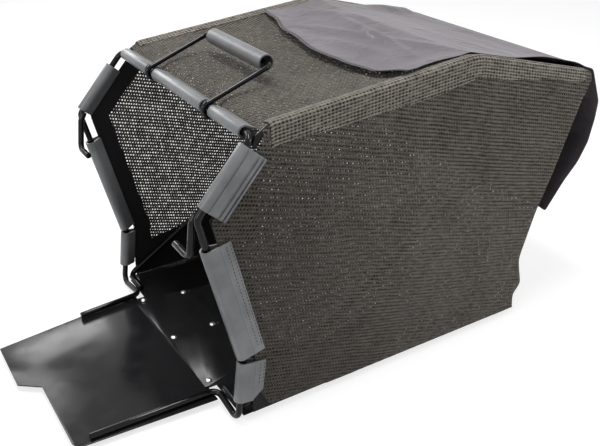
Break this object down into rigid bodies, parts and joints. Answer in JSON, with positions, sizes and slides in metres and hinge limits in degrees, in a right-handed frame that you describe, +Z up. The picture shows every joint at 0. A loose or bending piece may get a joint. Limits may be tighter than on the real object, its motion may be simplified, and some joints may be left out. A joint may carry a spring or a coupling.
{
  "type": "grass catcher",
  "caption": "Rear grass catcher: rod frame with a sheet steel chute, inward hooks and a wire carrying handle, hung with a mesh bag held by plastic edge clips.",
  "frame": {"origin": "on the ground, at the middle of the bag's floor, 240 mm behind the mouth's top bar", "axes": "+X across the mouth, +Y from the mouth back into the bag, +Z up"},
  "size_m": [0.374, 0.7345, 0.385],
  "materials": {
    "black_rod": "gloss black paint",
    "black_sheet": "gloss black paint on sheet steel",
    "clip_plastic": "satin grey plastic",
    "grip_plastic": "satin grey plastic",
    "mesh_cloth": "fine dark mesh",
    "liner_cloth": "coated black cloth",
    "nylon": "thin grey woven nylon",
    "zinc": "bright zinc"
  },
  "bodies": {
    "frame": {"mouth_hoop": "black_rod", "hook_left": "black_rod", "hook_right": "black_rod", "top_loop": "black_rod", "brace_left": "black_rod", "brace_right": "black_rod", "chute_tray": "black_sheet", "floor_plate": "black_sheet", "rivet_front_left": "zinc", "rivet_front_middle": "zinc", "rivet_front_right": "zinc", "rivet_rear_left": "zinc", "rivet_rear_middle": "zinc", "rivet_rear_right": "zinc", "clip_upper_left": "clip_plastic", "clip_upper_right": "clip_plastic", "clip_lower_left": "clip_plastic", "clip_lower_right": "clip_plastic", "clip_short_left": "clip_plastic", "clip_short_right": "clip_plastic", "clip_top_left": "clip_plastic", "clip_top_middle": "clip_plastic", "clip_top_right": "clip_plastic", "bag_side_left": "mesh_cloth", "bag_side_right": "mesh_cloth", "bag_top": "mesh_cloth", "bag_rear": "mesh_cloth", "bag_floor": "mesh_cloth", "sleeve_left": "mesh_cloth", "sleeve_right": "mesh_cloth", "rear_hem": "mesh_cloth", "side_liner_left": "liner_cloth", "side_liner_right": "liner_cloth", "dust_cover": "nylon"},
    "handle": {"handle_wire": "black_rod"},
    "grip": {"handle_grip": "grip_plastic"}
  },
  "joints": [
    {"name": "handle_hinge", "type": "hinge", "parent": "frame", "child": "handle", "pos_m": [0, -0.24, 0.342], "axis": [1, 0, 0], "range_deg": [0, 240]},
    {"name": "grip_spin", "type": "hinge", "parent": "handle", "child": "grip", "pos_m": [0, -0.1603, 0.3752], "axis": [1, 0, 0], "continuous": true}
  ]
}
